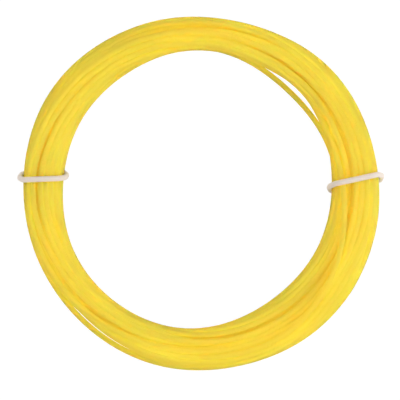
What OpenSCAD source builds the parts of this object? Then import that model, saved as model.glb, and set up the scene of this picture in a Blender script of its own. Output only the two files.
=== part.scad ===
/* [String] */
// Diameter of the string
string_d = 1.3; // [1.1:0.05:1.5]
// Length of string in the whole coil
string_length = 12000; // [10000:500:14000]
// Share of the bundle's section that string fills
packing = 0.8; // [0.74:0.01:0.88]

/* [Coil] */
// Mean radius of the loops
coil_radius = 37.1; // [31:0.5:45]
// Width of the bundle of loops, averaged round the coil
bundle_width = 9.7; // [8.2:0.1:11.6]
// How much wider the bundle is on its loose side
loose_swing = 1.3; // [0:0.1:1.4]
// Direction of the loose side
loose_angle = -41; // [-180:1:180]
// How much the bundle narrows at its two waists
waist_swing = 1.05; // [0:0.05:1.1]
// Direction of the first waist
waist_angle = 58; // [0:1:180]
// How far the loops lie off centre
off_centre = 0.65; // [0:0.05:1]
// Direction in which they lie off centre
off_centre_angle = 100; // [-180:1:180]
// Corner radius of the bundle's section, as a share of its shorter side
corner_share = 0.42; // [0.36:0.01:0.46]

/* [Stray loop] */
// How far one loop bows in from the bundle
stray_reach = 2.3; // [0:0.1:4]
// Where it bows in furthest
stray_angle = 45; // [30:5:60]
// Angle over which it is clear of the bundle, to each side
stray_half_span = 30; // [20:5:40]

/* [Ties] */
// Diameter of a tie over its plastic coating
tie_d = 1.3; // [1:0.05:1.6]
// Diameter of the steel wire inside a tie
wire_d = 0.55; // [0.4:0.05:0.8]
// Where the right tie crosses the bundle
right_tie_angle = 5; // [-20:0.5:20]
// Where the left tie crosses the bundle
left_tie_angle = 174.9; // [160:0.1:200]
// Turn of a tie away from the straight way across
tie_skew = 7.2; // [0:0.1:12]
// How far the run under the bundle lies beside the run over it
tie_tilt = 1.4; // [0.6:0.1:2.2]
// Play between a tie and each side of the bundle
tie_slack = 0.3; // [0.2:0.05:0.8]
// Radius at which the ends turn into the twist
tie_bend = 1.3; // [1.2:0.1:2]
// Turns of the twisted ends
twist_turns = 1.75; // [1:0.25:2.5]

/* [Fits] */
// Least gap between neighbouring turns of the drawn string
turn_gap = 0.44; // [0.42:0.01:0.7]
// Gap at which one piece rests on another
seat_gap = 0.03; // [0.03:0.01:0.06]
// Gap between a tie's wire and its coating
wire_gap = 0.01; // [0.01:0.01:0.03]
// Gap between a tie and the surface that the coil lies on
floor_gap = 0.05; // [0.03:0.01:0.2]
// Gap between the two twisted ends
twist_gap = 0.1; // [0.08:0.01:0.2]

/* [Hidden] */

// ---- counts of facets ----
loop_rings = 24;
string_sides = 6;
tie_sides = 8;
core_points = 20;
step = 360 / loop_rings;

// ---- string ----
// A strand is drawn as a hexagon that lies on one of its flats.
string_flat = string_d / 2 * cos(180 / string_sides);
// Strands that lie on the surface are cut flat there.
flat_cut = string_d / 10;
rest_height = string_d / 2 - flat_cut;

// ---- twisted ends of a tie ----
twist_radius = (tie_d + twist_gap) / 2;
twist_height = twist_radius + tie_d / 2 + floor_gap;
twist_pitch = 3.5 * tie_d;
twist_lead = 0.2;
twist_length = twist_turns * twist_pitch / (1 - twist_lead / 2);
twist_rings = ceil(10 * twist_turns);
twist_start = tie_tilt + tie_bend;
tie_reach = twist_start + twist_length;
// The twist starts on the inner side, so that it stays under the bundle as that bends away.
twist_aside = tie_reach * sin(tie_skew) / 2 + pow(tie_reach, 2) / (4 * coil_radius);

// ---- arch of the bundle over the twisted ends ----
arch_rise = twist_height + twist_radius + tie_d / 2 + seat_gap + string_flat - rest_height;
arch_centre = to_degrees(tie_reach / 2);
arch_half = to_degrees(tie_reach / 2 + tie_d) + step;
arch_ramp = 20;
// A tie draws the bundle a little tighter.
tie_squeeze = 0.1;

// ---- section of the bundle ----
bundle_area = string_length / (2 * PI * coil_radius) * PI / 4 * pow(string_d, 2) / packing;
// A rounded rectangle fills this much of the plain one.
section_fill = 0.87;

function to_degrees(arc) = arc / coil_radius * 180 / PI;

// Difference between two directions, from 0 to 180 degrees
function turn_between(a, b) = abs(((a - b) % 360 + 540) % 360 - 180);

// 1 within the half angle given, falling to 0 over the ramp beyond it
function plateau(off, half, ramp) =
    off <= half ? 1 : off >= half + ramp ? 0 : pow(cos(90 * (off - half) / ramp), 2);

function arch(a) = max([
    for (tie = [right_tie_angle, left_tie_angle])
        plateau(turn_between(a, tie - arch_centre), arch_half, arch_ramp)
]);

function mid_radius(a) = coil_radius + off_centre * cos(a - off_centre_angle);

function section_w(a) =
    bundle_width + loose_swing * cos(a - loose_angle) - waist_swing * cos(2 * (a - waist_angle));

function section_h(a) = bundle_area / (section_fill * section_w(a)) * (1 - tie_squeeze * arch(a));

function section_corner(a) = corner_share * min(section_w(a), section_h(a));

// Height of the middle of the lowest strands
function lowest_strand(a) = rest_height + arch_rise * arch(a);

function section_middle(a) = lowest_strand(a) + (section_h(a) - string_d) / 2;

// ---- rounded rectangle, walked from the middle of its bottom outwards and up ----
function quarter_length(w, h, r) = (w + h) / 2 - (2 - PI / 2) * r;

function quarter_point(t, w, h, r) =
    let (flat = w / 2 - r, bend = PI / 2 * r, turn = (t - flat) / r * 180 / PI)
    t < flat ? [t, -h / 2]
    : t < flat + bend ? [flat + r * sin(turn), -h / 2 + r - r * cos(turn)]
    : [w / 2, -h / 2 + r + t - flat - bend];

function outline_point(share, w, h, r) =
    let (
        length = quarter_length(w, h, r),
        quarters = 4 * (share - floor(share)),
        k = floor(quarters),
        t = (quarters - k) * length,
        there = quarter_point(t, w, h, r),
        back = quarter_point(length - t, w, h, r)
    )
    k == 0 ? there : k == 1 ? [back[0], -back[1]] : k == 2 ? -there : [-back[0], back[1]];

// Point at a share of the section's outline, drawn in from the outside by the inset given
function section_point(share, a, inset) =
    [mid_radius(a), section_middle(a)]
    + outline_point(share, section_w(a) - 2 * inset, section_h(a) - 2 * inset,
        section_corner(a) - inset);

function turned(p, a) = [p[0] * cos(a), p[0] * sin(a), p[1]];

// ---- winding ----
// The outer turns pass once round the section while they go round the coil.
// Least distance, all round the coil, between strands that are one place apart
function least_spacing(places) = min([
    for (a = [0 : step : 360 - step], k = [0 : 4 * places - 1])
        let (here = k / places / 4)
        norm(section_point(here + 1 / places, a, string_d / 2) - section_point(here, a, string_d / 2))
]);

function places_that_fit(places) =
    least_spacing(places) >= string_d + turn_gap ? places : places_that_fit(places - 1);

// Places for strands side by side along the outline: one more than the loops, at the ends
most_loops = 24;
drawn_places = places_that_fit(most_loops + 1);
drawn_loops = drawn_places - 1;
// The two ends lie at the lower inner edge, out of sight from above.
first_share = -0.1;
first_angle = 255;
last_angle = first_angle + 360 * drawn_loops - 45;
stations = (last_angle - first_angle) / step;

function place_share(t) = first_share + (t - first_angle) / 360 / drawn_places;

// The stray turn is the one nearest to the upper part of the inner side.
stray_share = 0.68;
stray_turn = round((stray_share - first_share) * drawn_places - (stray_angle + 360 - first_angle) / 360);
stray_at = 360 * (stray_turn + 1) + stray_angle;

function stray(t) =
    let (off = abs(t - stray_at))
    off < stray_half_span ? stray_reach * pow(cos(90 * off / stray_half_span), 2) : 0;

function strand_middle(t) =
    section_point(place_share(t), t % 360, string_d / 2) - [stray(t), 0];

function strand_ring(t) =
    let (p = strand_middle(t))
    [
        for (k = [0 : string_sides - 1])
            let (turn = -360 * k / string_sides, q = p + string_d / 2 * [cos(turn), sin(turn)])
            turned([q[0], max(0, q[1])], t)
    ];

// An end runs straight for one diameter, square to its last ring.
function end_ring(t, way) =
    [for (q = strand_ring(t)) q + way * string_d * [-sin(t), cos(t), 0]];

string_rings = concat(
    [end_ring(first_angle, -1)],
    [for (i = [0 : stations]) strand_ring(first_angle + i * step)],
    [end_ring(last_angle, 1)]
);

// ---- least gap between turns, on the middles of rings and of the runs between them ----
function run_point(i, half) =
    let (t = first_angle + i * step)
    half ? (turned(strand_middle(t), t) + turned(strand_middle(t + step), t + step)) / 2
    : turned(strand_middle(t), t);

least_gap = min([
    for (half = [false, true], i = [0 : stations - loop_rings - 1])
        let (p = run_point(i, half))
        for (j = [i + loop_rings : loop_rings : stations - 1], near = [-1 : 1])
            if (j + near < stations)
                norm(run_point(j + near, half) - p) - string_d
]);

// ---- facets ----
// The wall between rings of points that follow one another in one list
function wall(rings, sides, from = 0, closed = false) = [
    for (i = [0 : rings - (closed ? 1 : 2)], k = [0 : sides - 1])
        let (
            here = from + i * sides,
            next = from + ((i + 1) % rings) * sides,
            along = (k + 1) % sides
        )
        each [
            [here + k, next + k, next + along],
            [here + k, next + along, here + along],
        ]
];

function flipped(faces) = [for (f = faces) [f[0], f[2], f[1]]];

function disc(from, sides) = [for (k = [1 : sides - 2]) [from, from + k, from + k + 1]];

function washer(outer, inner, sides) = [
    for (k = [0 : sides - 1])
        let (along = (k + 1) % sides)
        each [
            [outer + k, outer + along, inner + along],
            [outer + k, inner + along, inner + k],
        ]
];

function joined(rings) = [for (ring = rings) each ring];

module solid_tube(rings, sides) {
    last = (len(rings) - 1) * sides;
    polyhedron(
        joined(rings),
        concat(wall(len(rings), sides), disc(0, sides), flipped(disc(last, sides)))
    );
}

module hollow_tube(outer, inner, sides) {
    last = (len(outer) - 1) * sides;
    bore = len(outer) * sides;
    polyhedron(
        concat(joined(outer), joined(inner)),
        concat(
            wall(len(outer), sides),
            flipped(wall(len(inner), sides, bore)),
            washer(0, bore, sides),
            flipped(washer(last, bore + last, sides))
        )
    );
}

// ---- sweep along a free path ----
function unit(v) = v / norm(v);

function heading(path, i) =
    unit(path[min(i + 1, len(path) - 1)] - path[max(i - 1, 0)]);

function squared(v, axis) = unit(v - (v * axis) * axis);

// One direction across the path at each point, carried along it without a twist
function across(path) = [
    for (
        i = 0, n = squared([0, 0, 1], heading(path, 0));
        i < len(path);
        i = i + 1, n = squared(n, heading(path, min(i, len(path) - 1)))
    ) n
];

function swept_rings(path, d, sides) =
    let (normals = across(path))
    [
        for (i = [0 : len(path) - 1])
            let (n = normals[i], b = cross(heading(path, i), n))
            [for (k = [0 : sides - 1]) path[i] + d / 2 * (cos(360 * k / sides) * n + sin(360 * k / sides) * b)]
    ];

// ---- ties ----
// Value of a function of the angle between two rings, as the drawn bundle has it
function between_rings(low_value, high_value, a) =
    let (share = a / step - floor(a / step))
    low_value * (1 - share) + high_value * share;

function ring_before(a) = floor(a / step) * step;

// How much nearer the middle a flat run lies than the circle through its ends
function chord(a) = cos(step / 2) / cos(a - ring_before(a) - step / 2);

// The section of the drawn bundle under a tie: middle radius, width, top and corner radius
function tied_section(a) =
    let (lo = ring_before(a), hi = lo + step)
    [
        chord(a) * between_rings(mid_radius(lo), mid_radius(hi), a),
        between_rings(section_w(lo), section_w(hi), a),
        between_rings(
            section_middle(lo) + (section_h(lo) - string_d) / 2,
            section_middle(hi) + (section_h(hi) - string_d) / 2,
            a
        ) + string_flat,
        between_rings(section_corner(lo), section_corner(hi), a)
    ];

function twist_turn(share) =
    360 * twist_turns / (1 - twist_lead / 2)
    * (share < twist_lead ? pow(share, 2) / (2 * twist_lead) : share - twist_lead / 2);

// Each point is [outwards, along the bundle, up], from under the middle of the bundle.
function twist_point(share, side) = [
    side * twist_radius * cos(twist_turn(share)) - twist_aside,
    twist_start + twist_length * share,
    twist_height + side * twist_radius * sin(twist_turn(share))
];

function bend_point(turn, side) = [
    side * (twist_radius + tie_bend * (1 - cos(turn))) - twist_aside,
    twist_start - tie_bend * sin(turn),
    twist_height
];

corner_rings = 6;

function loop_point(quarter, turn, half, high, upper_r, lower_r) =
    let (
        upper = quarter == 1 || quarter == 2,
        r = upper ? upper_r : lower_r,
        outwards = quarter < 2 ? 1 : -1,
        a = 90 * (quarter - 1) + turn,
        z = (upper ? high - r : twist_height + r) + r * sin(a)
    )
    [outwards * (half - r) + r * cos(a), tie_tilt * (high - z) / (high - twist_height), z];

function tie_points(a) =
    let (
        section = tied_section(a),
        half = section[1] / 2 + tie_slack + tie_d / 2,
        high = section[2] + seat_gap + tie_d / 2,
        upper_r = section[3] + tie_d / 2,
        // The lower corners leave a straight run before each end turns into the twist.
        lower_r = min(upper_r, half - twist_radius - tie_bend - twist_aside - tie_d / 8)
    )
    concat(
        [for (i = [twist_rings : -1 : 1]) twist_point(i / twist_rings, 1)],
        [for (turn = [0 : 30 : 90]) bend_point(turn, 1)],
        [
            for (quarter = [0 : 3], i = [0 : corner_rings - 1])
                loop_point(quarter, 90 * i / (corner_rings - 1), half, high, upper_r, lower_r)
        ],
        [for (turn = [90 : -30 : 0]) bend_point(turn, -1)],
        [for (i = [1 : twist_rings]) twist_point(i / twist_rings, -1)]
    );

function tie_path(a) =
    let (r = tied_section(a)[0], way = a + tie_skew)
    [
        for (p = tie_points(a))
            [
                r * cos(a) + p[0] * cos(way) + p[1] * sin(way),
                r * sin(a) + p[0] * sin(way) - p[1] * cos(way),
                p[2]
            ]
    ];

// ---- place of the origin: under the middle of the overall box ----
right_reach = max([for (p = tie_path(right_tie_angle)) p[0]]) + tie_d / 2;
left_reach = min([for (p = tie_path(left_tie_angle)) p[0]]) - tie_d / 2;
far_reach = max([for (ring = string_rings, p = ring) p[1]]);
near_reach = min([for (ring = string_rings, p = ring) p[1]]);

module placed() {
    translate([-(left_reach + right_reach) / 2, -(near_reach + far_reach) / 2, 0])
        children();
}

// ---- pieces ----
module string_coil() {
    echo(drawn_loops = drawn_loops, least_gap = least_gap);
    color("gold") placed() solid_tube(string_rings, string_sides);
}

// The inner loops, which the outer turns cover
module string_core() {
    rings = [
        for (i = [0 : loop_rings - 1])
            [
                for (k = [0 : core_points - 1])
                    turned(section_point(-k / core_points, i * step, string_d + seat_gap), i * step)
            ]
    ];
    color("goldenrod")
        placed() polyhedron(joined(rings), wall(loop_rings, core_points, 0, true));
}

module tie_coating(a) {
    path = tie_path(a);
    bore_d = wire_d + 2 * wire_gap;
    color("linen") placed()
        hollow_tube(swept_rings(path, tie_d, tie_sides), swept_rings(path, bore_d, tie_sides), tie_sides);
}

module tie_wire(a) {
    color("silver") placed() solid_tube(swept_rings(tie_path(a), wire_d, tie_sides), tie_sides);
}

module left_tie_coating() {
    tie_coating(left_tie_angle);
}

module left_tie_wire() {
    tie_wire(left_tie_angle);
}

module right_tie_coating() {
    tie_coating(right_tie_angle);
}

module right_tie_wire() {
    tie_wire(right_tie_angle);
}

string_coil();
string_core();
left_tie_coating();
left_tie_wire();
right_tie_coating();
right_tie_wire();
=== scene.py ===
import math

import bpy
import numpy as np
from bpy.props import FloatProperty, FloatVectorProperty, IntProperty, PointerProperty
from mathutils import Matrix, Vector


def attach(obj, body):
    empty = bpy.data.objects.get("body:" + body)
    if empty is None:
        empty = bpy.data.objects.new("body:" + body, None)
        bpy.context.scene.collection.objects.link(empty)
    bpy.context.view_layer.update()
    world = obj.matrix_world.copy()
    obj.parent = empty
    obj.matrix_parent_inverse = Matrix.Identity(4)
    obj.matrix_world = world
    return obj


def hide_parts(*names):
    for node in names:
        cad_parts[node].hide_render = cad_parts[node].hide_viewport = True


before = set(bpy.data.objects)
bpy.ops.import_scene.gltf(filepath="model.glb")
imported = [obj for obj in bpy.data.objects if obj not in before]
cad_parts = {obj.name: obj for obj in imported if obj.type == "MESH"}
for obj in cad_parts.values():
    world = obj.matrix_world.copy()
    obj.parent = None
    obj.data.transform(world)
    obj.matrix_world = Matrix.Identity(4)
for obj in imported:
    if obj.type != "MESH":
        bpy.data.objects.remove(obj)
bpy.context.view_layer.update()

bl_info = {
    "name": "Coil of Racket String",
    "version": (1, 0, 0),
    "blender": (4, 5, 0),
    "location": "3D View > Sidebar > String Coil",
    "description": "Winds a coil of racket string and twists the two wire ties that hold it",
    "category": "Add Mesh",
}

MM = 0.001

# ---------------------------------------------------------------- sizes, in millimetres
# The winding and the ties are worked out in millimetres and turned to metres at the end.

# Where the coil's axis stands in the frame: the origin is under the middle of the overall box
COIL_AXIS = (-0.32, -0.21)

# Outer and inner edge of the bundle: a mean radius, then its swells, each as how many there are
# round the coil, how high they are, and the angle of the first one
OUTER_EDGE = (
    42.1,
    ((1, 0.51, 4), (2, 0.34, -36), (3, 0.3, 22), (4, 0.27, -39), (5, 0.14, -33), (7, 0.11, -5)),
)
INNER_EDGE = (
    32.26,
    ((1, 1.1, 117), (2, 0.77, 62), (3, 0.12, 12), (5, 0.07, -28), (6, 0.14, -28), (7, 0.05, -7)),
)

# Share of the bundle's section that string fills
PACKING = 0.8
# The section is a rounded rectangle: how much of the plain one it fills, and the radius of its
# corners as a share of its shorter side
SECTION_FILL = 0.94
CORNER_SHARE = 0.26

# The ties' angles
RIGHT_TIE = 5.0
LEFT_TIE = 174.9
# The arch of the bundle over a tie's twisted ends: its rise, and in degrees how far its middle
# lies back from the tie, half its length, and the ramp at each end
ARCH_RISE = 2.82
ARCH_BACK = 8.9
ARCH_HALF = 25.9
ARCH_RAMP = 20
# Share of its height that the bundle loses where a tie squeezes it
TIE_SQUEEZE = 0.1

# ---------------------------------------------------------------- where single strands lie
# Each is the loop that it belongs to, then how far it lies above the top of the bundle as (angle,
# millimetres), where below is negative, and then a few places along it as (angle, radius). The
# angle goes on past 360 into the next loop.
LEVEL = ((0, 0.0),)
TOP_STRANDS = (
    (50, LEVEL, (
        (-12, 36.6), (2, 37.05), (15, 37.45), (45, 37.45), (67, 37.45), (80, 37.65), (95, 38.05),
        (115, 38.7), (130, 39.0), (145, 39.5), (160, 40.1), (172, 40.45), (183, 40.5), (197, 39.9),
        (205, 39.6), (219, 39.25), (226, 38.95), (235, 38.3), (243, 38.0), (250, 37.65),
        (258, 37.35), (268, 37.2), (285, 37.6), (297, 38.0),
    )),
    (47, ((-5, -1.3), (4, -1.0), (14, 0.0)), (
        (0, 35.0), (15, 35.15), (50, 35.25), (67, 35.55), (80, 36.05), (95, 36.55), (110, 37.15),
        (137, 37.75), (147, 37.95), (160, 38.95), (175, 39.25), (185, 39.2), (197, 38.1),
        (205, 37.35), (215, 36.95), (228, 36.4), (236, 35.9), (243, 35.85),
    )),
    (44, ((296, 0.0), (310, -0.3), (330, -0.5)), (
        (40, 34.15), (60, 34.4), (80, 34.8), (95, 35.3), (110, 35.9), (125, 36.2), (140, 36.2),
        (148, 36.4), (155, 36.9), (163, 37.2), (185, 37.15), (193, 36.75), (200, 36.2), (210, 35.7),
        (222, 35.45), (235, 34.75), (245, 34.6), (256, 34.8), (270, 35.35), (285, 35.45),
        (296, 35.55), (310, 35.85), (320, 36.05), (330, 36.2),
    )),
    # The one that crosses over all the others
    (41, ((295, 1.0), (315, 1.5), (350, 1.5), (366, 1.0)), (
        (255, 38.6), (280, 38.8), (290, 39.15), (300, 39.2), (308, 38.65), (315, 38.05),
        (322, 37.4), (330, 36.7), (338, 35.95), (347, 34.9), (356, 34.1), (366, 33.7), (380, 33.6),
    )),
    (38, ((310, 0.0), (325, -1.1)), (
        (262, 33.6), (280, 33.5), (300, 33.45), (310, 33.7), (320, 33.9), (328, 34.1),
    )),
    (35, LEVEL, (
        (240, 39.3), (249, 39.5), (262, 39.85), (275, 40.0), (290, 40.35), (300, 40.25),
        (315, 39.4), (328, 38.45), (343, 39.35), (352, 39.75), (362, 39.95), (380, 39.88),
        (400, 39.85), (425, 40.05), (435, 40.3), (442, 40.3), (452, 40.15),
    )),
    (32, LEVEL, (
        (333, 37.25), (343, 37.75), (352, 38.1), (362, 38.35), (380, 38.45), (400, 38.5),
        (425, 38.5), (435, 38.35), (442, 38.35), (450, 38.5),
    )),
    (29, LEVEL, (
        (100, 34.2), (115, 34.65), (130, 34.95), (148, 35.15), (163, 36.1), (185, 36.1),
        (193, 35.6), (200, 35.0), (210, 34.5), (222, 34.2), (235, 33.6), (246, 33.4),
    )),
    (26, LEVEL, (
        (290, 41.3), (300, 41.4), (315, 40.6), (328, 39.65), (343, 40.55), (352, 40.95),
        (362, 41.15), (380, 41.1), (405, 41.05), (425, 41.1), (440, 41.2), (452, 41.2),
    )),
    (17, ((275, -0.2), (300, -0.4), (325, -1.1), (347, -1.4)), (
        (275, 32.5), (285, 32.5), (300, 32.55), (320, 32.75), (332, 33.2), (342, 33.6), (352, 34.0),
    )),
    (11, LEVEL, ((150, 33.95), (163, 34.9), (185, 34.9), (193, 34.4), (200, 33.8))),
    # These lie a little lower, and are the floors of the broad grooves.
    (48, ((-12, -1.7), (-3, -1.7), (8, -1.7), (62, -1.8), (80, -1.5), (95, -1.3)), (
        (-12, 35.4), (-5, 35.7), (5, 36.1), (15, 36.3), (30, 36.4), (45, 36.35), (60, 36.35),
        (70, 36.65), (80, 36.9), (95, 37.3),
    )),
    (49, ((157, -1.0), (168, -1.6), (187, -1.6), (205, -1.2)), (
        (157, 37.85), (165, 38.05), (175, 38.2), (185, 38.15), (197, 37.25), (205, 36.65),
    )),
    (48, (
        (216, -1.2), (226, -1.7), (240, -1.6), (258, 0.0), (294, 0.0), (305, -0.45), (320, -0.6),
    ), (
        (216, 38.3), (226, 37.7), (235, 37.1), (243, 36.9), (252, 36.6), (262, 36.5), (272, 36.6),
        (285, 36.6), (294, 36.6), (300, 36.75), (310, 36.85), (320, 36.8),
    )),
    (40, ((275, -1.0), (285, -1.3), (300, -1.4), (345, -1.7)), (
        (275, 34.5), (285, 34.4), (300, 34.5), (310, 34.75), (320, 34.95), (328, 35.05),
        (336, 34.8), (345, 34.3),
    )),
)
# The loop that bows inwards, clear of the bundle
STRAY_STRAND = (24, (
    (10, 33.2), (20, 32.85), (30, 32.36), (38, 32.08), (48, 32.03), (56, 32.25), (62, 32.72),
    (70, 33.55), (78, 34.3),
))
# The loop that stands off the outside, past a narrow slit
OUTER_STRAND = (20, ((212, 40.4), (224, 40.57), (236, 40.85), (249, 41.15), (262, 41.2)))
# Hollows between the top strands: how much lower the loose strands lie there than elsewhere, and
# then a few places along them as (angle, inner radius, outer radius)
HOLLOWS = (
    (1.5, (
        (88, 40.6, 43), (97, 40.3, 44), (107, 39.9, 44), (117, 39.6, 44), (127, 39.8, 44),
        (137, 40.2, 44), (152, 40.8, 44), (167, 41.3, 44),
    )),
    (1.9, ((66, 38.9, 39.6), (82, 38.9, 39.6), (95, 38.8, 39.4), (107, 38.5, 39.0))),
    (1.0, ((10, 33.0, 34.3), (30, 32.9, 34.0))),
    (1.0, ((328, 37.5, 37.9), (343, 38.4, 38.8), (362, 39.0, 39.4), (380, 39.1, 39.4))),
    (1.0, ((336, 36.2, 37.4), (362, 36.2, 37.4))),
    (1.3, (
        (278, 34.0, 35.0), (300, 34.0, 35.1), (310, 34.2, 35.3), (320, 34.4, 35.5),
        (332, 34.6, 35.8),
    )),
    (1.4, (
        (0, 35.6, 36.6), (15, 35.9, 36.8), (60, 35.9, 36.8), (75, 36.4, 37.3), (95, 36.9, 37.7),
    )),
    (0.9, ((348, 34.9, 36.2), (364, 35.2, 36.4))),
    (1.2, ((220, 37.6, 38.8), (228, 37.1, 38.1), (237, 36.5, 37.5), (246, 36.2, 37.1))),
)
# The top strands lie closer than their full thickness by this share, so their grooves are shallow
TOP_SQUEEZE = 0.08
# Share of a free strand's movement that a strand with a place of its own doesn't make
HELD_STILL = 0.8
# Angle over which a hollow fades out, and the width of its sides in millimetres
HOLLOW_RAMP = 6
HOLLOW_SIDE = 0.4
# Angle over which a strand comes to its place, and leaves it
LEAD = 25
# Height of the stray and the outer strand, as a share of half the section from its middle
STRAY_HEIGHT = 0.1
OUTER_STRAND_HEIGHT = 0.15
# How far the bundle's inner edge gives way to the stray strand, and how far it holds the others
# back from it, each with the middle, the half length and the ramp of that stretch in degrees
STRAY_ROOM = (2.6, (45, 16, 22))
STRAY_GAP = (0.35, (46, 5, 12))
# Radius of the bundle's edge inside the slit, at its first and last angle, and the half length and
# the ramp of the slit in degrees
SLIT = ((223, 39.66), (249, 40.45))
SLIT_HALF = 12
SLIT_RAMP = 9
# Over 1, so that the outer strand is past the slit's wall a little before it is in its place
SLIT_HASTE = 1.5


# ---------------------------------------------------------------- user's settings
def linear(code):
    """Linear red, green and blue of an sRGB hex colour."""
    values = [int(code[i:i + 2], 16) / 255 for i in (0, 2, 4)]
    return tuple(v / 12.92 if v <= 0.04045 else ((v + 0.055) / 1.055) ** 2.4 for v in values)


def size(name, description, default, low, high):
    return FloatProperty(
        name=name, description=description, default=default, min=low, max=high,
        unit="LENGTH", precision=5,
    )


def colour(name, description, code):
    return FloatVectorProperty(
        name=name, description=description, default=linear(code), min=0, max=1, size=3,
        subtype="COLOR",
    )


class StringSettings(bpy.types.PropertyGroup):
    diameter: size("Diameter", "Diameter of the string", 1.3 * MM, 1.1 * MM, 1.5 * MM)
    length: size("Length", "Length of string in the coil", 12.0, 10.0, 14.0)
    loop_radius: size("Loop Radius", "Mean radius of the loops", 37.1 * MM, 31 * MM, 45 * MM)
    seed: IntProperty(name="Seed", description="Seed of the loops' wander", default=7, min=0)
    sides: IntProperty(
        name="Sides", description="Sides of the string's round section", default=16, min=6
    )
    tint: colour("Colour", "Colour of the string", "DED03B")
    deep_tint: colour("Deep Colour", "Colour where the pigment is denser", "DCCB35")


class TieSettings(bpy.types.PropertyGroup):
    diameter: size("Diameter", "Diameter over the plastic coating", 1.3 * MM, 1.0 * MM, 1.6 * MM)
    wire: size("Wire", "Diameter of the steel wire inside", 0.55 * MM, 0.4 * MM, 0.8 * MM)
    twist_turns: FloatProperty(
        name="Twist", description="Turns of the twisted ends", default=1.75, min=1
    )
    tint: colour("Colour", "Colour of the plastic coating", "FFEEE0")
    wire_tint: colour("Wire Colour", "Colour of the cut wire", "B4B4B6")


class StageSettings(bpy.types.PropertyGroup):
    floor: size("Floor", "Side of the square floor", 3.0, 1.0, 10.0)
    frame_width: size(
        "Frame Width", "Width that the camera takes in at the coil", 94.4 * MM, 0.05, 1.0
    )
    camera_height: size("Camera Height", "Height of the camera over the coil", 1.5, 0.3, 3.0)


# ---------------------------------------------------------------- small helpers
def plateau(angle, centre, half, ramp):
    """1 within the half angle from the centre, falling smoothly to 0 over the ramp beyond it."""
    off = np.abs((angle - centre + 180) % 360 - 180)
    return 0.5 + 0.5 * np.cos(np.pi * np.clip((off - half) / ramp, 0, 1))


def edge_radius(angle, edge):
    """Radius of the bundle's outer or inner edge at an angle."""
    mean, swells = edge
    return mean + sum(s * np.cos(np.radians(n * (angle - at))) for n, s, at in swells)


def arch(angle):
    """How far the bundle arches over a tie's twisted ends, from 0 to 1."""
    middles = [tie - ARCH_BACK for tie in (RIGHT_TIE, LEFT_TIE)]
    return np.maximum(*[plateau(angle, middle, ARCH_HALF, ARCH_RAMP) for middle in middles])


def cubic(value, slope, i, run, t):
    """Smooth curve from value i to the next one, a run further, at the share t of that run."""
    return (
        (2 * t**3 - 3 * t**2 + 1) * value[i]
        + (t**3 - 2 * t**2 + t) * run * slope[i]
        + (3 * t**2 - 2 * t**3) * value[i + 1]
        + (t**3 - t**2) * run * slope[i + 1]
    )


def curve_through(points, at):
    """Smooth curve through a few (x, y) points, at each x asked for."""
    px, py = np.array(points, float).T
    i = np.clip(np.searchsorted(px, at) - 1, 0, len(px) - 2)
    run = px[i + 1] - px[i]
    return cubic(py, np.gradient(py, px), i, run, (at - px[i]) / run)


def distance_along(points):
    return np.concatenate([[0], np.cumsum(np.linalg.norm(np.diff(points, axis=0), axis=1))])


def resampled(points, count):
    """Points spaced evenly along a smooth curve through the given ones."""
    length = distance_along(points)
    at = np.linspace(0, length[-1], count)
    i = np.clip(np.searchsorted(length, at) - 1, 0, len(points) - 2)
    run = (length[i + 1] - length[i])[:, None]
    slope = np.gradient(points, length, axis=0)
    return cubic(points, slope, i, run, (at - length[i])[:, None] / run)


def in_frame(points):
    """Points given in millimetres from the coil's axis, in metres in the frame."""
    return (np.asarray(points) + (*COIL_AXIS, 0)) * MM


# ---------------------------------------------------------------- the winding
# Each loop is worked out at this many angles
STATIONS = 96
# The wander of the strands over the section: each part's share, and the loops between its knots
SLOW_WANDER = (0.8, 1.3)
FAST_WANDER = (0.6, 0.2)
# Spread of the curve through random knots, which is divided out
KNOT_SPREAD = 0.69
# Share of a loop over which each end of the string is tucked down, and how deep it goes, as a
# share of half the section
TUCK_LONG = 0.3
TUCK_DEEP = 0.9
# At the start, the share of the section that the loose strands take, how far they are sunk in it,
# and the share of its lift that a top strand has
LOOSE_SHARE = 0.93
LOOSE_SINK = 0.05
LIFT_AT_START = 0.25
# How far the top strands may stand over the section, and how far the loose ones stay under its top
TOP_PROUD = 0.2
LOOSE_UNDER = 0.9
# Stations off and weights for the mean way apart of two strands that meet
WAY_APART = ((-3, 1), (-2, 2), (-1, 2), (0, 2), (1, 2), (2, 2), (3, 1))
# A strand that touches more others than this moves by less than the sum of their pushes
CROWD = 1.5
# Where the stand-ins for the last loop's missing stations are, and how far they are apart
FAR_OFF = 1e3
FAR_APART = 50

# Steps of the packing. At these shares of them the strands push each other twice in a step, have
# grown to their full thickness, and only settle.
STEPS = 4000
CROWDED_AT = 0.6
GROWN_AT = 0.7
SETTLING_AT = 0.9
# Thickness in the first step, as a share of the full one
THREAD = 0.1
# In one step: how far the top strands are lifted, how far all of them sink, and the share of
# these that is left when they settle
RISE = 0.012
SINK = 0.004
SETTLING_CALM = 0.3
# Share of its way back to its own place that a strand goes in one step, before they settle and then
PULL = 0.3
SETTLING_PULL = 0.1
# Spread in stations and share of the blur that bends the strands less
GROWING_BLUR = (4, 1.0)
GROWN_BLUR = (2.5, 0.7)
SETTLING_BLUR = (2.5, 0.35)


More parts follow.
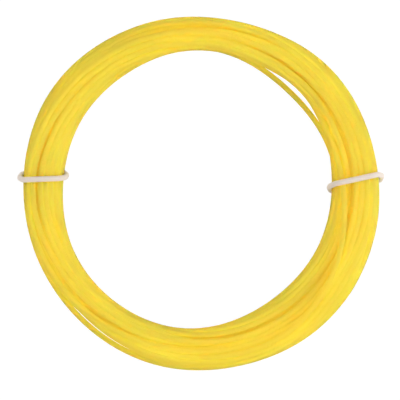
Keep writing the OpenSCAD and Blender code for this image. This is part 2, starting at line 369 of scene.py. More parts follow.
class Winding:
    """The loops as (radius, height) at fixed angles, packed close together."""

    def __init__(self, diameter, length, loop_radius, seed):
        self.d = diameter
        self.turns = length / (2 * np.pi * loop_radius)
        self.count = int(round(self.turns * STATIONS))
        self.loops = math.ceil(self.turns)
        self.at = np.arange(self.count) / STATIONS
        self.rng = np.random.default_rng(seed)
        self.lay_out_section()
        self.lay_out_strands()
        self.shape_walls()
        self.pack()

    def lay_out_section(self):
        """The bundle's edges, height, underside and corners at each station."""
        angle = np.arange(self.count) % STATIONS * 360 / STATIONS
        self.outer = edge_radius(angle, OUTER_EDGE)
        self.inner = edge_radius(angle, INNER_EDGE)
        area = self.turns * np.pi / 4 * self.d**2 / PACKING
        width = self.outer - self.inner
        self.height = area / (SECTION_FILL * width) * (1 - TIE_SQUEEZE * arch(angle))
        self.bottom = ARCH_RISE * arch(angle)
        self.corner = CORNER_SHARE * np.minimum(width, self.height)
        self.angle = angle

    def wander(self, knot):
        """Smooth random numbers along the string, with a knot every so many loops."""
        knot = knot * STATIONS
        value = self.rng.normal(size=int(self.count / knot) + 6)
        x = np.arange(self.count) / knot + 1.5
        i = x.astype(int)
        f = x - i
        blend = (
            (1 - f) ** 3 * value[i - 1]
            + (3 * f**3 - 6 * f**2 + 4) * value[i]
            + (-3 * f**3 + 3 * f**2 + 3 * f + 1) * value[i + 1]
            + f**3 * value[i + 2]
        ) / 6
        return blend / KNOT_SPREAD

    def place(self):
        """A share of half the section from its middle, from -1 to 1 and even over that range."""
        slow, fast = [share * self.wander(knot) for share, knot in (SLOW_WANDER, FAST_WANDER)]
        x = (slow + fast) / math.sqrt(2)
        # The error function, nearly, which spreads a bell curve evenly
        return np.tanh(1.128 * x * (1 + 0.0895 * x * x))

    def window(self, loop, points):
        """How firmly a strand's points hold each station, from 0 to 1, and their radius there."""
        there = (self.at - loop) * 360
        first, last = points[0][0], points[-1][0]
        coming = np.clip((there - first + LEAD) / LEAD, 0, 1)
        going = np.clip((last + LEAD - there) / LEAD, 0, 1)
        rise = coming * going
        hold = rise * rise * (3 - 2 * rise)
        return hold, curve_through(points, np.clip(there, first, last))

    def take_hold(self, loop, points):
        """Gives a strand its own place, and says how firmly it is held and where."""
        hold, goal = self.window(loop, points)
        there = hold > 0
        self.goal[there] = goal[there]
        self.hold[there] = hold[there]
        return hold, there

    def lay_out_strands(self):
        """Where each strand starts, and the way of those that have a place of their own."""
        across, up = self.place(), self.place()
        # Both ends of the string are tucked in at the bottom.
        from_ends = (self.at, self.turns - self.at)
        tuck = sum(np.clip(1 - far / TUCK_LONG, 0, 1) ** 0.5 for far in from_ends)
        up = up * (1 - tuck) - TUCK_DEEP * tuck
        self.goal = np.zeros(self.count)
        self.hold = np.zeros(self.count)
        self.lift = np.zeros(self.count)
        for loop, above, points in TOP_STRANDS:
            hold, there = self.take_hold(loop, points)
            lift = np.interp((self.at[there] - loop) * 360, *np.transpose(above))
            self.lift[there] = hold[there] * lift
        self.top = self.hold.copy()
        loose, top = up * LOOSE_SHARE - LOOSE_SINK, 1 + LIFT_AT_START * self.lift
        up = loose * (1 - self.top) + top * self.top
        for strand, height in ((STRAY_STRAND, STRAY_HEIGHT), (OUTER_STRAND, OUTER_STRAND_HEIGHT)):
            hold, there = self.take_hold(*strand)
            up = up * (1 - hold) + height * hold
        half_w = (self.outer - self.inner - self.d) / 2
        half_h = (self.height - self.d) / 2
        radius = (self.outer + self.inner) / 2 + across * half_w
        radius = radius * (1 - self.hold) + self.goal * self.hold
        self.p = np.stack([radius, self.bottom + self.height / 2 + up * half_h], 1)

    def shape_walls(self):
        """Lets the stray strand out, keeps the others inside the slit, and sinks the hollows."""
        stray = self.window(*STRAY_STRAND)[0] * (self.hold > 0)
        (room, room_at), (gap, gap_at) = STRAY_ROOM, STRAY_GAP
        self.inner = self.inner - stray * room * plateau(self.angle, *room_at)
        self.inner = self.inner + (1 - stray) * gap * plateau(self.angle, *gap_at)
        (first, low), (last, high) = SLIT
        slit_edge = low + (self.angle - first) / (last - first) * (high - low)
        others = 1 - np.clip(SLIT_HASTE * self.window(*OUTER_STRAND)[0], 0, 1)
        dent = plateau(self.angle, (first + last) / 2, SLIT_HALF, SLIT_RAMP) * others
        self.outer = self.outer - dent * np.maximum(0, self.outer - slit_edge)
        # A hollow's angles may go past 360 or below 0.
        self.hollows = []
        for depth, edges in HOLLOWS:
            edge_at, low, high = np.transpose(edges)
            first, last = edge_at[0], edge_at[-1]
            middle, half = (first + last) / 2, (last - first) / 2
            fade = plateau(self.angle, middle, half, HOLLOW_RAMP)
            there = np.nonzero(fade > 0)[0]
            at = np.clip(middle + (self.angle[there] - middle + 180) % 360 - 180, first, last)
            inner, outer = np.interp(at, edge_at, low), np.interp(at, edge_at, high)
            self.hollows.append((there, depth * fade[there], inner, outer))

    def smoothed(self, spread, share):
        """Bends each strand less: a blur that leaves slow curves as they are."""
        n = int(3 * spread + 1)
        x = np.arange(-n, n + 1)
        blur = np.exp(-(x**2) / (2 * spread**2))
        blur /= blur.sum()
        twice = -np.convolve(blur, blur)
        twice[n:-n] += 2 * blur
        n *= 2
        for c in (0, 1):
            q = self.p[:, c]
            ends = np.concatenate([2 * q[0] - q[n:0:-1], q, 2 * q[-1] - q[-2:-n - 2:-1]])
            self.p[:, c] += share * (np.convolve(ends, twice, "valid") - q)

    def part(self, reach, pairs):
        """Pushes apart strands whose middles are nearer than the reach."""
        grid = self.loops * STATIONS
        r, z = [np.concatenate([self.p[:, c], self.beyond]) for c in (0, 1)]
        rows, cols = r.reshape(self.loops, STATIONS), z.reshape(self.loops, STATIONS)
        near = (rows[pairs[0]] - rows[pairs[1]]) ** 2 + (cols[pairs[0]] - cols[pairs[1]]) ** 2
        pair, station = np.nonzero(near < reach**2)
        i, j = pairs[0][pair] * STATIONS + station, pairs[1][pair] * STATIONS + station
        apart = np.sqrt(near[pair, station])
        limit = reach * (1 - TOP_SQUEEZE * np.minimum(self.flush[i], self.flush[j]))
        close = apart < limit
        i, j, apart, limit = i[close], j[close], apart[close], limit[close]
        # The way apart is averaged along the strands, so that two that meet slip past each other.
        way_r, way_z = np.zeros(len(i)), np.zeros(len(i))
        for off, weight in WAY_APART:
            o = np.where((i + off < 0) | (j + off >= self.count), 0, off)
            way_r += weight * (r[i + o] - r[j + o])
            way_z += weight * (z[i + o] - z[j + o])
        push = 0.5 * (limit - apart) / (np.hypot(way_r, way_z) + 1e-9)
        touching = np.bincount(i, minlength=grid) + np.bincount(j, minlength=grid)
        ease = CROWD / np.maximum(touching, CROWD)
        # A held strand hardly gives way to a free one.
        give = 2 * self.free[i] / (self.free[i] + self.free[j])
        for c, way in ((0, way_r), (1, way_z)):
            forwards = np.bincount(i, way * push * give, grid)
            backwards = np.bincount(j, way * push * (2 - give), grid)
            self.p[:, c] += ((forwards - backwards) * ease)[:self.count]

    def wall_in(self, reach):
        """Keeps the strands' middles inside the rounded section, and over the surface below."""
        middle_r = (self.outer + self.inner) / 2
        half_r = (self.outer - self.inner - reach) / 2
        low = self.bottom + reach / 2
        high = self.bottom + self.height - reach / 2 + TOP_PROUD * self.top
        high = high - LOOSE_UNDER * (1 - self.top) + self.lift
        for there, depth, inner_edge, outer_edge in self.hollows:
            radius = self.p[there, 0]
            inside = np.minimum(radius - inner_edge, outer_edge - radius)
            high[there] -= depth * (1 - self.top[there]) * np.clip(0.5 + inside / HOLLOW_SIDE, 0, 1)
        middle_z, half_z = (high + low) / 2, (high - low) / 2
        corner = np.minimum(self.corner - reach / 2, np.minimum(half_r, half_z))
        off_r, off_z = self.p[:, 0] - middle_r, self.p[:, 1] - middle_z
        past_r, past_z = np.abs(off_r) - half_r + corner, np.abs(off_z) - half_z + corner
        out_r, out_z = np.maximum(past_r, 0), np.maximum(past_z, 0)
        far = np.hypot(out_r, out_z)
        back = np.where(far > corner, corner / np.maximum(far, 1e-9), 1)
        self.p[:, 0] = np.where(
            past_r > 0, middle_r + np.sign(off_r) * (half_r - corner + out_r * back), self.p[:, 0]
        )
        self.p[:, 1] = np.where(
            past_z > 0, middle_z + np.sign(off_z) * (half_z - corner + out_z * back), self.p[:, 1]
        )
        self.p[:, 1] = np.maximum(self.p[:, 1], low)

    def pack(self):
        """Lets the strands grow from threads to their full thickness while they push and bend."""
        self.beyond = FAR_OFF + FAR_APART * np.arange(self.loops * STATIONS - self.count)
        self.flush = np.concatenate([self.top, 0 * self.beyond])
        self.free = np.concatenate([1 - HELD_STILL * self.hold, 1 + 0 * self.beyond])
        pairs = np.triu_indices(self.loops, 1)
        for step in range(STEPS):
            share = step / STEPS
            settling = share > SETTLING_AT
            reach = self.d * (THREAD + (1 - THREAD) * min(1, share / GROWN_AT))
            calm, pull = (SETTLING_CALM, SETTLING_PULL) if settling else (1, PULL)
            self.p[:, 1] += calm * (RISE * self.top - SINK)
            self.p[:, 0] += pull * self.hold * (self.goal - self.p[:, 0])
            for _ in range(3 if settling else 2 if share > CROWDED_AT else 1):
                self.part(reach, pairs)
            self.wall_in(reach)
            growing = share < GROWN_AT
            self.smoothed(*GROWING_BLUR if growing else SETTLING_BLUR if settling else GROWN_BLUR)

    def points(self):
        """The string's middle line in space, in millimetres, from the coil's own axis."""
        turn = 2 * np.pi * self.at
        return np.stack([self.p[:, 0] * np.cos(turn), self.p[:, 0] * np.sin(turn), self.p[:, 1]], 1)

    def section(self, angle):
        """(radius, height) of each loop at an angle."""
        n = np.arange(self.loops) * STATIONS + (angle % 360) / 360 * STATIONS
        n = n[n < self.count - 1]
        i = n.astype(int)
        return self.p[i] + (self.p[i + 1] - self.p[i]) * (n - i)[:, None]


WOUND = {}


def wound():
    """The winding that the settings ask for, worked out once."""
    s = bpy.context.scene.string_coil
    # Rounded, because a property holds 0.0013 a little off
    diameter, length, radius = [x / MM for x in (s.diameter, s.length, s.loop_radius)]
    key = (round(diameter, 3), round(length, 0), round(radius, 3), s.seed)
    if key not in WOUND:
        WOUND[key] = Winding(*key)
    return WOUND[key]


# ---------------------------------------------------------------- nodes and materials
def add(tree, kind, inputs=None, **settings):
    """Adds a node, with its settings, and sets or links its inputs by name or number."""
    node = tree.nodes.new(kind)
    for name, value in settings.items():
        setattr(node, name, value)
    for name, value in (inputs or {}).items():
        if isinstance(value, bpy.types.NodeSocket):
            tree.links.new(value, node.inputs[name])
        else:
            node.inputs[name].default_value = value
    return node


def new_material(name):
    material = bpy.data.materials.new(name)
    material.use_nodes = True
    material.node_tree.nodes.clear()
    return material, material.node_tree


# Numbers of the colour sockets on a Mix node
COLOUR_A, COLOUR_B, MIXED_COLOUR = 6, 7, 2


def opaque(values):
    return (*values, 1)


UV_NAME = "metres_along_and_round"
# Scales of the patterns, per metre. The dye is a little denser here and there, about every 40 mm
# along the string and hardly round it.
DYE_CLOUDS = (25, 120, 1)
# The lines that the die leaves along the string are 0.15 mm apart and about 25 mm long.
DIE_LINES = (40, 6700, 1)
# The coating's grain is 0.4 mm across, and the drawing marks on the wire 0.17 mm.
VINYL_GRAIN = 2500.0
WIRE_MARKS = 6000.0
# How much the shading turns upwards, as if the strands shared their light
SHARED_GLOW = 0.4


def string_material(settings):
    """Extruded polyester monofilament, dyed through.

    It is smooth with a soft gloss. Light sinks in and comes out again, so the string looks waxy,
    and it deepens towards orange in the grooves between strands.
    """
    material, tree = new_material("extruded_polyester_yellow")
    uv = add(tree, "ShaderNodeUVMap", uv_map=UV_NAME).outputs["UV"]
    along = add(tree, "ShaderNodeMapping", {"Vector": uv, "Scale": DYE_CLOUDS})
    dye = add(tree, "ShaderNodeTexNoise", {"Vector": along.outputs[0], "Scale": 1.0, "Detail": 2.0})
    tint = add(tree, "ShaderNodeMix", {
        "Factor": dye.outputs["Fac"],
        COLOUR_A: opaque(settings.tint),
        COLOUR_B: opaque(settings.deep_tint),
    }, data_type="RGBA")
    drawn = add(tree, "ShaderNodeMapping", {"Vector": uv, "Scale": DIE_LINES})
    noise = add(tree, "ShaderNodeTexNoise", {
        "Vector": drawn.outputs[0], "Scale": 1.0, "Detail": 1.0,
    })
    lines = noise.outputs["Fac"]
    bump = add(tree, "ShaderNodeBump", {"Height": lines, "Strength": 0.04, "Distance": 0.00002})
    gloss = add(tree, "ShaderNodeMapRange", {"Value": lines, "To Min": 0.4, "To Max": 0.5})
    # Light passes from strand to strand, so a strand's side is nearly as light as its top. It
    # comes out some millimetres away, red furthest.
    shared = add(tree, "ShaderNodeVectorMath", {
        0: bump.outputs["Normal"], 1: (1 - SHARED_GLOW,) * 3, 2: (0, 0, SHARED_GLOW),
    }, operation="MULTIPLY_ADD")
    facing = add(tree, "ShaderNodeVectorMath", {0: shared.outputs[0]}, operation="NORMALIZE")
    shader = add(tree, "ShaderNodeBsdfPrincipled", {
        "Base Color": tint.outputs[MIXED_COLOUR],
        "Roughness": gloss.outputs["Result"],
        "IOR": 1.57,
        "Specular IOR Level": 0.3,
        "Normal": facing.outputs[0],
        "Subsurface Weight": 1.0,
        "Subsurface Radius": (1.35, 0.56, 0.3),
        "Subsurface Scale": 0.0088,
    }, subsurface_method="BURLEY")
    add(tree, "ShaderNodeOutputMaterial", {"Surface": shader.outputs[0]})
    return material


def coating_material(settings):
    """Extruded soft vinyl.

    It is satin and slightly translucent, with a faint grain that keeps its highlights soft.
    """
    material, tree = new_material("soft_vinyl_off_white")
    place = add(tree, "ShaderNodeTexCoord").outputs["Object"]
    noise = add(tree, "ShaderNodeTexNoise", {"Vector": place, "Scale": VINYL_GRAIN, "Detail": 2.0})
    grain = noise.outputs["Fac"]
    bump = add(tree, "ShaderNodeBump", {"Height": grain, "Strength": 0.2, "Distance": 0.00003})
    gloss = add(tree, "ShaderNodeMapRange", {"Value": grain, "To Min": 0.42, "To Max": 0.55})
    shader = add(tree, "ShaderNodeBsdfPrincipled", {
        "Base Color": opaque(settings.tint),
        "Roughness": gloss.outputs["Result"],
        "IOR": 1.53,
        "Normal": bump.outputs["Normal"],
        "Subsurface Weight": 0.1,
        "Subsurface Radius": (1.0, 0.8, 0.6),
        "Subsurface Scale": 0.0006,
    })
    add(tree, "ShaderNodeOutputMaterial", {"Surface": shader.outputs[0]})
    return material


def wire_material(settings):
    """Soft drawn steel wire.

    Its cut end is a small grey glint, a little uneven where the die has marked it.
    """
    material, tree = new_material("drawn_steel_wire")
    place = add(tree, "ShaderNodeTexCoord").outputs["Object"]
    noise = add(tree, "ShaderNodeTexNoise", {"Vector": place, "Scale": WIRE_MARKS, "Detail": 1.0})
    marks = noise.outputs["Fac"]
    gloss = add(tree, "ShaderNodeMapRange", {"Value": marks, "To Min": 0.28, "To Max": 0.45})
    shader = add(tree, "ShaderNodeBsdfPrincipled", {
        "Base Color": opaque(settings.wire_tint),
        "Metallic": 1.0,
        "Roughness": gloss.outputs["Result"],
    })
    add(tree, "ShaderNodeOutputMaterial", {"Surface": shader.outputs[0]})
    return material


# ---------------------------------------------------------------- the string
def tube_tree():
    """Geometry nodes that sweep a round section along a curve."""
    tree = bpy.data.node_groups.new("round_tube", "GeometryNodeTree")
    sockets = [
        ("Geometry", "INPUT", "NodeSocketGeometry"), ("Diameter", "INPUT", "NodeSocketFloat"),
        ("Sides", "INPUT", "NodeSocketInt"), ("Material", "INPUT", "NodeSocketMaterial"),
        ("Geometry", "OUTPUT", "NodeSocketGeometry"),
    ]
    for name, way, kind in sockets:
        tree.interface.new_socket(name, in_out=way, socket_type=kind)
    given = add(tree, "NodeGroupInput").outputs
    half = add(tree, "ShaderNodeMath", {0: given["Diameter"], 1: 0.5}, operation="MULTIPLY")
    ring = add(tree, "GeometryNodeCurvePrimitiveCircle", {
        "Resolution": given["Sides"], "Radius": half.outputs[0],
    })
    tube = add(tree, "GeometryNodeCurveToMesh", {
        "Curve": given["Geometry"], "Profile Curve": ring.outputs[0], "Fill Caps": True,
    })
    smooth = add(tree, "GeometryNodeSetShadeSmooth", {0: tube.outputs[0]})
    real = add(tree, "GeometryNodeRealizeInstances", {0: smooth.outputs[0]})
    finish = add(tree, "GeometryNodeSetMaterial", {
        0: real.outputs[0], "Material": given["Material"],
    })
    add(tree, "NodeGroupOutput", {0: finish.outputs[0]})
    return tree


def swept(name, path, diameter, sides, material):
    """A round tube along a path, as a plain mesh with its own UV map."""
    curve = bpy.data.curves.new(name + "_route", "CURVE")
    curve.dimensions = "3D"
    spline = curve.splines.new("POLY")
    spline.points.add(len(path) - 1)
    spline.points.foreach_set("co", np.column_stack([path, np.ones(len(path))]).ravel())
    route = bpy.data.objects.new(name + "_route", curve)
    bpy.context.scene.collection.objects.link(route)
    tree = tube_tree()
    nodes = route.modifiers.new("tube", "NODES")
    nodes.node_group = tree
    values = {"Diameter": diameter, "Sides": sides, "Material": material}
    for socket in tree.interface.items_tree:
        if socket.in_out == "INPUT" and socket.name in values:
            nodes[socket.identifier] = values[socket.name]
    route.update_tag()
    graph = bpy.context.evaluated_depsgraph_get()
    mesh = bpy.data.meshes.new_from_object(route.evaluated_get(graph))
    bpy.data.objects.remove(route)
    mesh.name = name
    add_uv(mesh, path, diameter, sides)
    piece = bpy.data.objects.new(name, mesh)
    bpy.context.scene.collection.objects.link(piece)
    return piece


def add_uv(mesh, path, diameter, sides):
    """Unrolls the tube: metres along it, and metres round it."""
    length = distance_along(path)
    corner = np.zeros(len(mesh.loops), int)
    mesh.loops.foreach_get("vertex_index", corner)
    start, total = np.zeros(len(mesh.polygons), int), np.zeros(len(mesh.polygons), int)
    mesh.polygons.foreach_get("loop_start", start)
    mesh.polygons.foreach_get("loop_total", total)
    ring, side = corner // sides, corner % sides
    face = np.repeat(np.arange(len(start)), total)
    # The last face round goes on to the full circle, and not back to 0.
    last = np.maximum.reduceat(side, start)[face] == sides - 1
    side = np.where(last & (side == 0) & (total[face] == 4), sides, side)
    uv = np.stack([length[ring], side / sides * math.pi * diameter], 1)
    layer = mesh.uv_layers.new(name=UV_NAME)
    layer.uv.foreach_set("vector", uv.astype(np.float32).ravel())


# The string is divided as finely as its count of triangles allows
MOST_TRIANGLES = 199000


class STRINGCOIL_OT_wind(bpy.types.Operator):
    """Wind the string into its coil"""

    bl_idname = "stringcoil.wind"
    bl_label = "Wind the String"

    def execute(self, context):
        settings = context.scene.string_coil
        winding = wound()
        rings = MOST_TRIANGLES // (2 * settings.sides)
        path = in_frame(resampled(winding.points(), rings))
        finish = string_material(settings)
        piece = swept("racket_string", path, settings.diameter, settings.sides, finish)
        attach(piece, "root")
        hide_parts("string_coil", "string_core")
        return {"FINISHED"}


# ---------------------------------------------------------------- the ties
# Angle of the tie's loop from square to the bundle, and how far along the bundle its underside
# lies from its top
TIE_SKEW = 7.2
TIE_TILT = 1.4
# Radii of the corners under the bundle's sides and of the bends into the twist, the angles at
# which each has a point, and how much of its tilt the tie has at the corners
TIE_CORNER = 2.2
CORNER_ANGLES = (20, 45, 70, 90)
CORNER_TILT = 0.97
TIE_BEND = 1.3
BEND_ANGLES = range(90, -1, -15)
# Gaps from the tie to the strands, between the twisted ends, and from them to the floor
SEAT_GAP = 0.03
TWIST_GAP = 0.1
FLOOR_GAP = 0.05
# Length of one turn of the twist in the tie's diameters, the share of the twist over which it
# starts, and the points in one turn
TWIST_PITCH = 3.5
TWIST_LEAD = 0.2
TWIST_POINTS = 16
# Radius of the loops that the twist lies under
LOOP_RADIUS = 37.1
# Degrees off the tie at which the strands under it are felt
TIE_FEEL = (-3, -1.5, 0, 1.5, 3)
# Degrees from outwards at which the tie lies on the strands: from under the bundle's outer side,
# over its top, to under its inner side
TIE_ROUND = range(-20, 201, 4)
# Distance between the points of the tie's path, and how many times its corners are smoothed
PATH_STEP = 0.15
PATH_SMOOTHINGS = 6
# Sides of the coating and the wire, and how much of its bore the wire fills
COATING_SIDES = 20
WIRE_SIDES = 12
WIRE_FIT = 0.98
# Points of the path by which the wire stands out of its coating at each end
WIRE_PROUD = 2


def twist_turn(share, turns):
    """Angle of the twist at a share of its length. It starts slowly, over its lead."""
    lead = np.where(share < TWIST_LEAD, share**2 / (2 * TWIST_LEAD), share - TWIST_LEAD / 2)
    return 2 * np.pi * turns / (1 - TWIST_LEAD / 2) * lead


def tie_loop(strands, string_d, tie_d, twist_z):
    """The tie round the strands: each way, it lies on the one that is furthest that way."""
    off = string_d / 2 + tie_d / 2 + SEAT_GAP
    loop = []
    for way in np.radians(TIE_ROUND):
        n = np.array([math.cos(way), math.sin(way)])
        loop.append(strands[np.argmax(strands @ n)] + n * off)
    loop = np.array(loop)
    top = strands[:, 1].max()
    tilt = TIE_TILT * (top - loop[:, 1]) / (top - twist_z)
    return np.stack([loop[:, 0], np.clip(tilt, 0, None), loop[:, 1]], 1)


def tie_end(side, half, tie_d, turns, twist_z):
    """One end of the tie: in under the bundle from the half width, and round the other end."""
    twist_r = (tie_d + TWIST_GAP) / 2
    pitch = TWIST_PITCH * tie_d
    twist_long = turns * pitch / (1 - TWIST_LEAD / 2)
    start = TIE_TILT + TIE_BEND
    reach = start + twist_long
    # The twist keeps under the middle of the bundle, which curves away from it.
    aside = reach * math.sin(math.radians(TIE_SKEW)) / 2 + reach**2 / (4 * LOOP_RADIUS)
    corner = [
        (
            side * (half - TIE_CORNER * (1 - math.cos(a))),
            TIE_TILT * CORNER_TILT,
            twist_z + TIE_CORNER * (1 - math.sin(a)),
        )
        for a in np.radians(CORNER_ANGLES)
    ]
    bend = [
        (
            side * (twist_r + TIE_BEND * (1 - math.cos(a))) - aside,
            start - TIE_BEND * math.sin(a),
            twist_z,
        )
        for a in np.radians(BEND_ANGLES)
    ]
    share = np.linspace(0, 1, int(TWIST_POINTS * turns))
    turn = twist_turn(share, turns)
    twist = np.stack([
        side * twist_r * np.cos(turn) - aside,
        start + twist_long * share,
        twist_z + side * twist_r * np.sin(turn),
    ], 1)
    return np.concatenate([corner, bend, twist[1:]])


def tie_path(angle, tie_d, turns):
    """The tie's middle line and the radius of the bundle's middle, in millimetres.

    The line's points are (outwards, along the bundle, up) from under that middle.
    """
    winding = wound()
    twist_z = (tie_d + TWIST_GAP) / 2 + tie_d / 2 + FLOOR_GAP
    near = np.concatenate([winding.section(angle + off) for off in TIE_FEEL])
    middle = (near[:, 0].max() + near[:, 0].min()) / 2
    loop = tie_loop(near - (middle, 0), winding.d, tie_d, twist_z)
    outer_end = tie_end(1, abs(loop[0][0]), tie_d, turns, twist_z)
    inner_end = tie_end(-1, abs(loop[-1][0]), tie_d, turns, twist_z)
    path = np.concatenate([outer_end[::-1], loop, inner_end])
    # Bent wire has no sharp corners.
    length = np.linalg.norm(np.diff(path, axis=0), axis=1).sum()
    path = resampled(path, int(length / PATH_STEP))
    for _ in range(PATH_SMOOTHINGS):
        path[1:-1] = (path[:-2] + 2 * path[1:-1] + path[2:]) / 4
    return path, middle


def tie_in_frame(angle, tie_d, turns):
    """The tie's middle line in its place on the coil, in metres in the frame."""
    path, middle = tie_path(angle, tie_d, turns)
    at, way = math.radians(angle), math.radians(angle + TIE_SKEW)
    x = middle * math.cos(at) + path[:, 0] * math.cos(way) + path[:, 1] * math.sin(way)
    y = middle * math.sin(at) + path[:, 0] * math.sin(way) - path[:, 1] * math.cos(way)
    return in_frame(np.stack([x, y, path[:, 2]], 1))


def rings_along(path, radius, sides):
    """Rings of points square to the path, carried along it without a twist."""
    ahead = np.gradient(path, axis=0)
    ahead /= np.linalg.norm(ahead, axis=1)[:, None]
    across = np.cross(ahead[0], (0, 0, 1))
    rings = []
    for p, t in zip(path, ahead):
        across = across - (across @ t) * t
        across /= np.linalg.norm(across)
        up = np.cross(t, across)
        turn = 2 * np.pi * np.arange(sides)[:, None] / sides
        rings.append(p + radius * (np.cos(turn) * across + np.sin(turn) * up))
    return np.concatenate(rings)


def sheath_mesh(name, path, outer, bore, sides):
    """A hollow tube with flat cut ends."""
    count = len(path)
    points = np.concatenate([rings_along(path, d / 2, sides) for d in (outer, bore)])
    inside = count * sides
    faces = []
    for i in range(count - 1):
        for k in range(sides):
            a, b = i * sides + k, i * sides + (k + 1) % sides
            faces.append((a, b, b + sides, a + sides))
            faces.append((inside + a, inside + a + sides, inside + b + sides, inside + b))
    for k in range(sides):
        along = (k + 1) % sides
        end = (count - 1) * sides
        faces.append((k, inside + k, inside + along, along))
        faces.append((end + k, end + along, inside + end + along, inside + end + k))
    mesh = bpy.data.meshes.new(name)
    mesh.from_pydata(points.tolist(), [], faces)
    # The last faces are the two cut ends, which are flat.
    smooth = [len(faces) - 2 * sides > i for i in range(len(faces))]
    mesh.polygons.foreach_set("use_smooth", smooth)
    mesh.update()
    return mesh


class STRINGCOIL_OT_ties(bpy.types.Operator):
    """Twist the two wire ties round the coil"""

    bl_idname = "stringcoil.ties"
    bl_label = "Twist the Ties"

    def execute(self, context):
        settings = context.scene.wire_ties
        tie_d = settings.diameter / MM
        coating, steel = coating_material(settings), wire_material(settings)
        for side, angle in (("left", LEFT_TIE), ("right", RIGHT_TIE)):
            path = tie_in_frame(angle, tie_d, settings.twist_turns)
            coated = path[WIRE_PROUD:-WIRE_PROUD]
            mesh = sheath_mesh(
                side + "_tie_sheath", coated, settings.diameter, settings.wire, COATING_SIDES
            )
            mesh.materials.append(coating)
            sheath = bpy.data.objects.new(mesh.name, mesh)
            context.scene.collection.objects.link(sheath)
            wire_d = settings.wire * WIRE_FIT
            core = swept(side + "_tie_core", path, wire_d, WIRE_SIDES, steel)
            for piece, node, slot in (
                (sheath, side + "_tie_coating", "tie_coating"),
                (core, side + "_tie_wire", "tie_wire"),
            ):
                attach(piece, "root")
                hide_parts(node)
        return {"FINISHED"}


# ---------------------------------------------------------------- the stage
# Strength of the light from all round, as it falls on the coil
SKY_LIGHT = 0.675
# Round lamps, pointed at the coil: place and diameter in metres, and power in watts
LAMPS = (("key", (0.5, -0.1, 0.28), 0.35, 0.8), ("fill", (-0.5, 0.35, 0.55), 0.6, 0.1))
# Share of the paper that shows its own glow, and that glow, which together come out near white
PAPER_GLOW_SHARE = 0.85
PAPER_GLOW = 1.12
# Height of the coil's widest part, where the frame's width is measured
WIDEST_Z = 6 * MM
# The middle of the picture, from the coil's axis, in millimetres
AIM = (0.24, -1.65)
# Width of the camera's sensor, in millimetres
SENSOR = 36


def background_ray(tree):
    """1 for a ray that shows the background, straight, in a reflection or through glass."""
    light = add(tree, "ShaderNodeLightPath").outputs
    both = add(tree, "ShaderNodeMath", {
        0: light["Is Camera Ray"], 1: light["Is Glossy Ray"],
    }, operation="MAXIMUM")
    return add(tree, "ShaderNodeMath", {
        0: both.outputs[0], 1: light["Is Transmission Ray"],
    }, operation="MAXIMUM").outputs[0]


def floor_material():
    """Matt white paper. It is seen nearly white, with the coil's soft shadow kept."""
    material, tree = new_material("white_paper_sweep")
    paper = add(tree, "ShaderNodeBsdfDiffuse", {"Color": (0.9, 0.9, 0.9, 1)})
    glow = add(tree, "ShaderNodeEmission", {"Color": (1, 1, 1, 1), "Strength": PAPER_GLOW})
    seen = add(tree, "ShaderNodeMath", {
        0: background_ray(tree), 1: PAPER_GLOW_SHARE,
    }, operation="MULTIPLY")
    mixed = add(tree, "ShaderNodeMixShader", {
        0: seen.outputs[0], 1: paper.outputs[0], 2: glow.outputs[0],
    })
    add(tree, "ShaderNodeOutputMaterial", {"Surface": mixed.outputs[0]})
    return material


def add_lamp(name, place, width, power):
    lamp = bpy.data.lights.new(name, "AREA")
    lamp.shape = "DISK"
    lamp.size = width
    lamp.energy = power
    holder = bpy.data.objects.new(name, lamp)
    holder.location = place
    holder.rotation_euler = (-Vector(place)).to_track_quat("-Z", "Y").to_euler()
    bpy.context.scene.collection.objects.link(holder)


def studio_world():
    """Even light from all round, which is white where it is seen itself."""
    world = bpy.data.worlds.new("studio")
    world.use_nodes = True
    tree = world.node_tree
    tree.nodes.clear()
    level = add(tree, "ShaderNodeMapRange", {
        "Value": background_ray(tree), "To Min": SKY_LIGHT, "To Max": 1.0,
    })
    sky = add(tree, "ShaderNodeBackground", {"Color": (1, 1, 1, 1), "Strength": level.outputs[0]})
    add(tree, "ShaderNodeOutputWorld", {"Surface": sky.outputs[0]})
    return world


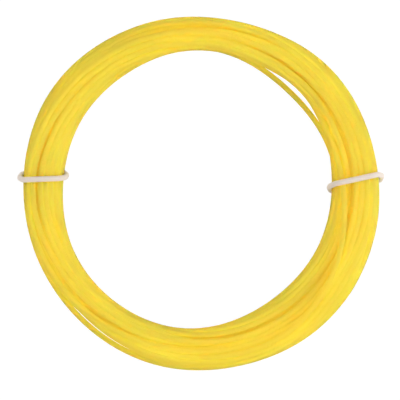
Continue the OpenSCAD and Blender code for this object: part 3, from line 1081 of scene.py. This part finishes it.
class STRINGCOIL_OT_stage(bpy.types.Operator):
    """Set up the paper, the lamps and the camera"""

    bl_idname = "stringcoil.stage"
    bl_label = "Set the Stage"

    def execute(self, context):
        settings = context.scene.coil_stage
        scene = context.scene
        half = settings.floor / 2
        mesh = bpy.data.meshes.new("floor")
        corners = [(-half, -half, 0), (half, -half, 0), (half, half, 0), (-half, half, 0)]
        mesh.from_pydata(corners, [], [(0, 1, 2, 3)])
        mesh.materials.append(floor_material())
        floor = bpy.data.objects.new("floor", mesh)
        scene.collection.objects.link(floor)

        scene.world = studio_world()
        for lamp in LAMPS:
            add_lamp(*lamp)

        camera = bpy.data.cameras.new("camera")
        camera.sensor_width = SENSOR
        camera.lens = SENSOR * (settings.camera_height - WIDEST_Z) / settings.frame_width
        camera.clip_start = 0.01
        camera.clip_end = 10
        holder = bpy.data.objects.new("camera", camera)
        x, y = (np.array(COIL_AXIS) + AIM) * MM
        holder.location = (x, y, settings.camera_height)
        scene.collection.objects.link(holder)
        scene.camera = holder
        scene.view_settings.view_transform = "Standard"
        return {"FINISHED"}


class STRINGCOIL_PT_panel(bpy.types.Panel):
    bl_idname = "STRINGCOIL_PT_panel"
    bl_label = "Coil of Racket String"
    bl_space_type = "VIEW_3D"
    bl_region_type = "UI"
    bl_category = "String Coil"

    def draw(self, context):
        for operator, group in (
            (STRINGCOIL_OT_stage, "coil_stage"),
            (STRINGCOIL_OT_ties, "wire_ties"),
            (STRINGCOIL_OT_wind, "string_coil"),
        ):
            box = self.layout.box()
            settings = getattr(context.scene, group)
            for name in settings.__annotations__:
                box.prop(settings, name)
            box.operator(operator.bl_idname)


CLASSES = (
    StringSettings, TieSettings, StageSettings,
    STRINGCOIL_OT_stage, STRINGCOIL_OT_ties, STRINGCOIL_OT_wind, STRINGCOIL_PT_panel,
)


def register():
    for cls in CLASSES:
        bpy.utils.register_class(cls)
    bpy.types.Scene.string_coil = PointerProperty(type=StringSettings)
    bpy.types.Scene.wire_ties = PointerProperty(type=TieSettings)
    bpy.types.Scene.coil_stage = PointerProperty(type=StageSettings)


def unregister():
    del bpy.types.Scene.string_coil
    del bpy.types.Scene.wire_ties
    del bpy.types.Scene.coil_stage
    for cls in reversed(CLASSES):
        bpy.utils.unregister_class(cls)


def main():
    register()
    bpy.ops.stringcoil.stage()
    bpy.ops.stringcoil.ties()
    bpy.ops.stringcoil.wind()


if __name__ == "__main__":
    main()
